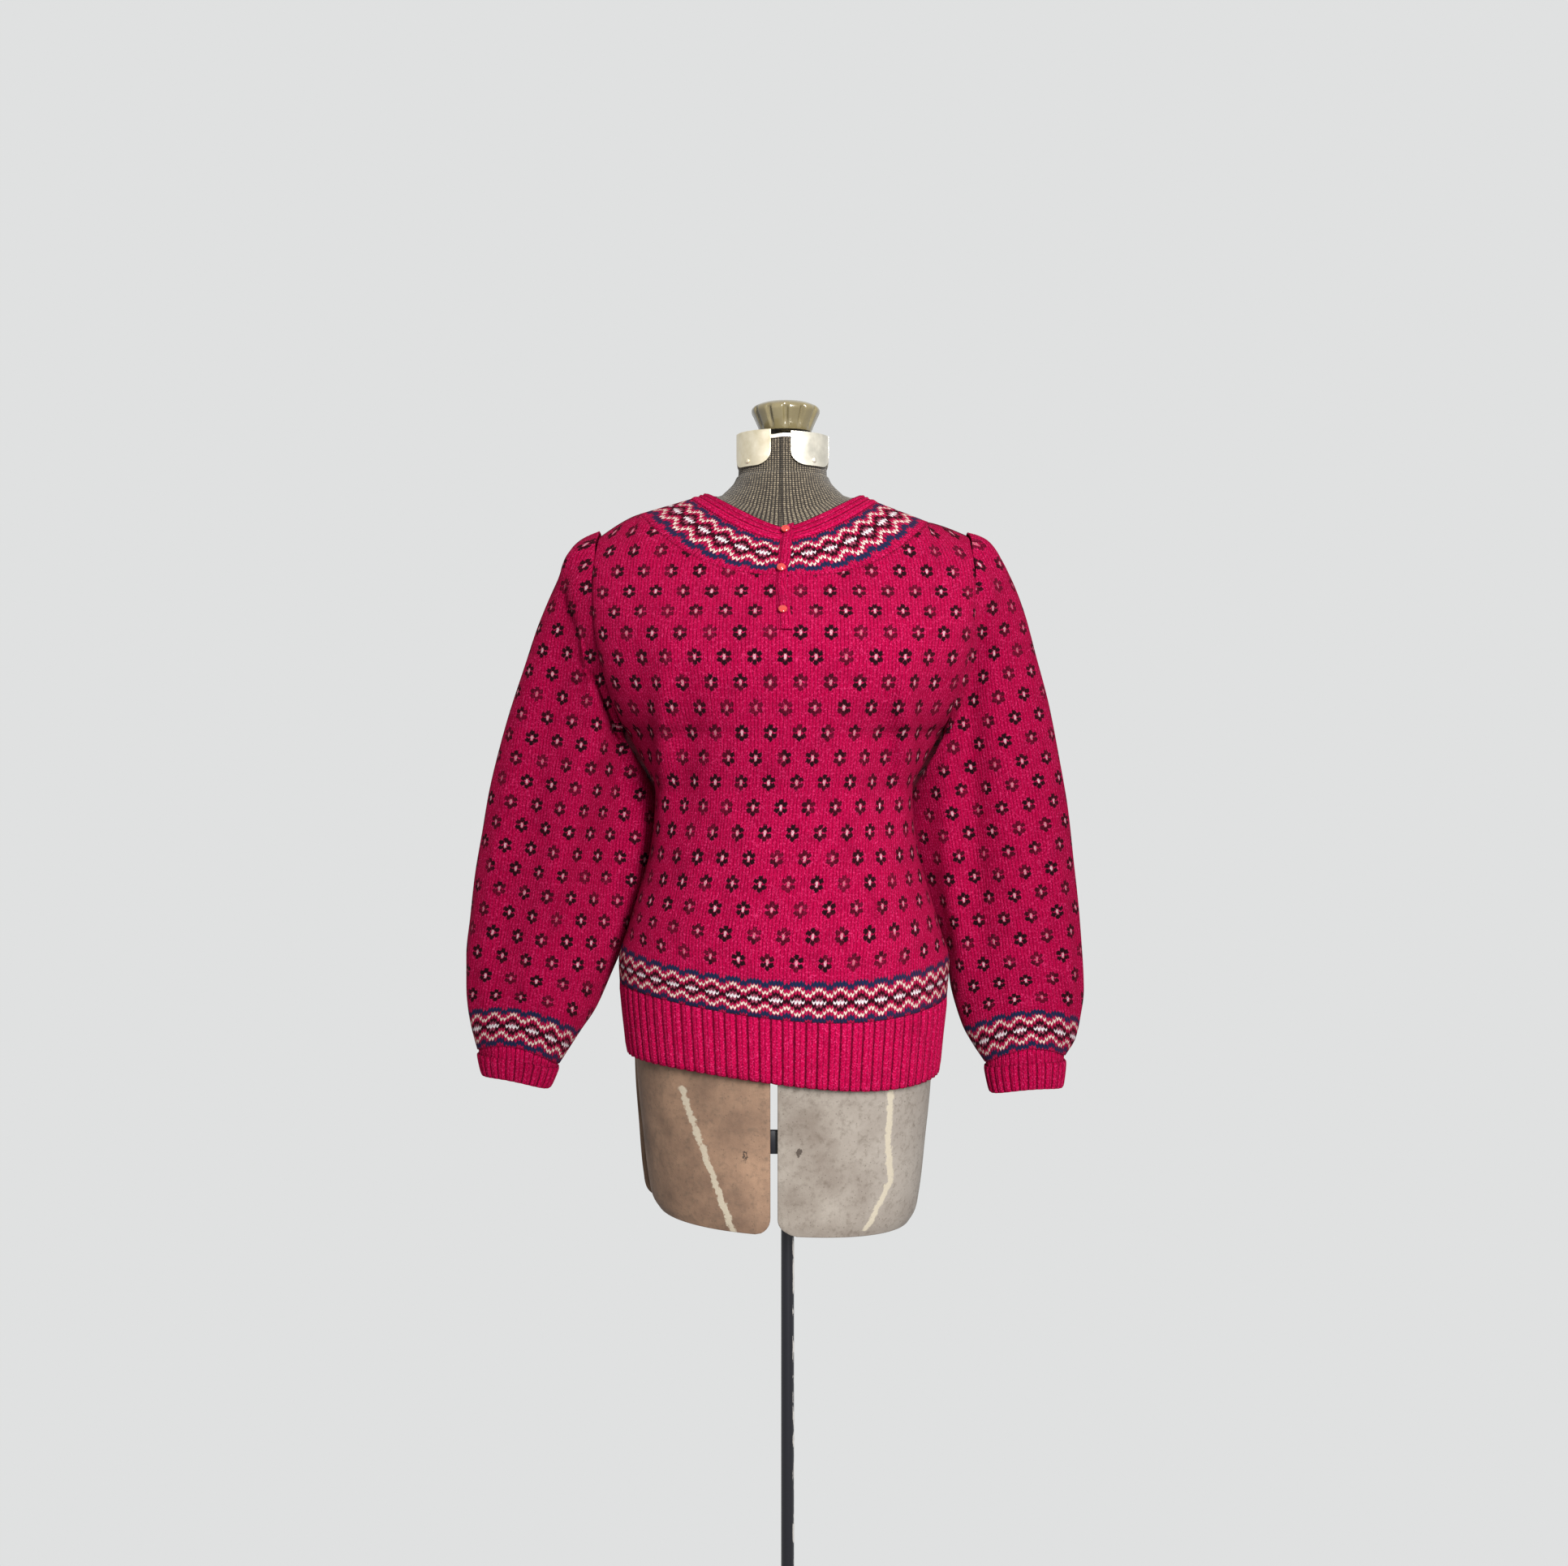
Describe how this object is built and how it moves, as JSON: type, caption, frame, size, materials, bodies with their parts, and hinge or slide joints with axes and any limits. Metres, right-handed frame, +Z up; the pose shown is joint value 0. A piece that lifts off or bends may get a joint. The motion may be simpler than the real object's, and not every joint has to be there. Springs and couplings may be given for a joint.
{
  "type": "fair-isle knit sweater on a limbless dress form with a pole stand",
  "caption": "Close-fitting fair-isle knit sweater with a round buttoned yoke, ribbed hem and turned-up cuffs, worn by a jersey-covered dress form on a pole stand.",
  "frame": {"origin": "on the round base's flat underside, 3.5 mm to the left of the pole's axis", "axes": "+Z up the pole, -Y towards the sweater's front, +X to the viewer's right"},
  "size_m": [0.611, 0.36, 1.4337],
  "materials": {
    "wool_knit": "hand-framed wool and mohair stocking stitch, crimson with small flowers in black and cream",
    "fair_isle_knit": "fair-isle band in navy, cream, black and rose on crimson",
    "ribbed_knit": "plain crimson ribbing and edging, slightly hairy",
    "red_plastic": "polished translucent coral-red buttons",
    "dark_jersey": "dark melange rib jersey stretched over the form",
    "papier_mache": "aged grey-brown papier-mache with mottling and pale worn strips",
    "nickel_plate": "worn nickel-plated sheet",
    "olive_bakelite": "moulded olive-khaki plastic, glossy",
    "black_metal": "black enamel with bright chips along the edges"
  },
  "bodies": {
    "stand": {"body_front": "wool_knit", "body_back": "wool_knit", "yoke_left": "fair_isle_knit", "yoke_right": "fair_isle_knit", "yoke_back": "fair_isle_knit", "neckband": "ribbed_knit", "placket": "ribbed_knit", "button_1": "red_plastic", "button_2": "red_plastic", "button_3": "red_plastic", "hem_rib_front": "ribbed_knit", "hem_rib_back": "ribbed_knit", "sleeve_left": "wool_knit", "sleeve_right": "wool_knit", "cuff_left": "ribbed_knit", "cuff_right": "ribbed_knit", "form_torso": "dark_jersey", "hip_front_left": "papier_mache", "hip_front_right": "papier_mache", "hip_back_left": "papier_mache", "hip_back_right": "papier_mache", "collar_plate_front_left": "nickel_plate", "collar_plate_front_right": "nickel_plate", "collar_plate_back_left": "nickel_plate", "collar_plate_back_right": "nickel_plate", "collar_rivet_front_left": "nickel_plate", "collar_rivet_front_right": "nickel_plate", "collar_rivet_back_left": "nickel_plate", "collar_rivet_back_right": "nickel_plate", "hip_bridge": "black_metal", "pole": "black_metal", "base": "black_metal"},
    "knob": {"knob": "olive_bakelite"}
  },
  "joints": [
    {"name": "knob_turn", "type": "hinge", "parent": "stand", "child": "knob", "pos_m": [0.0016, 0, 1.3943], "axis": [0, 0, 1], "continuous": true}
  ]
}
